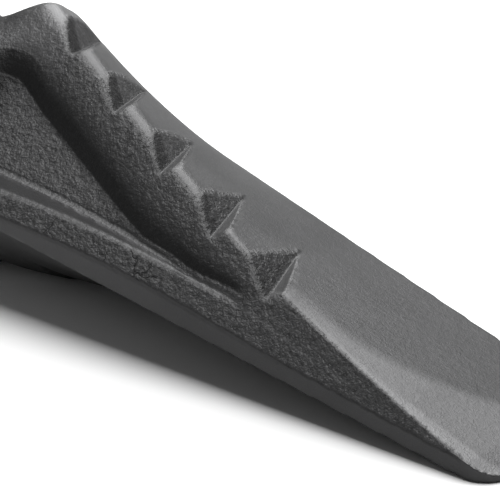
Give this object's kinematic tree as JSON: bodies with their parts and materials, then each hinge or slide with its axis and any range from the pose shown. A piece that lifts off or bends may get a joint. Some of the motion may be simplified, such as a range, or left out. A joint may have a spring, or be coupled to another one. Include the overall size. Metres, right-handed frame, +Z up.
{
  "type": "splitting wedge",
  "caption": "Forged steel splitting wedge with a twisted body, a straight blunt edge, notched ridges and a recessed pocket on each side.",
  "frame": {"origin": "centre of the striking face", "axes": "+X along the wedge from the striking face to the cutting edge, +Y along the cutting edge, +Z up, square to the flat of the blade"},
  "size_m": [0.232, 0.062, 0.069],
  "materials": {
    "wedge_body": "dark forge scale under a thin dark coat, smoother and a little lighter on the top and bottom faces"
  },
  "bodies": {
    "root": {"wedge_body": "wedge_body"}
  },
  "joints": []
}
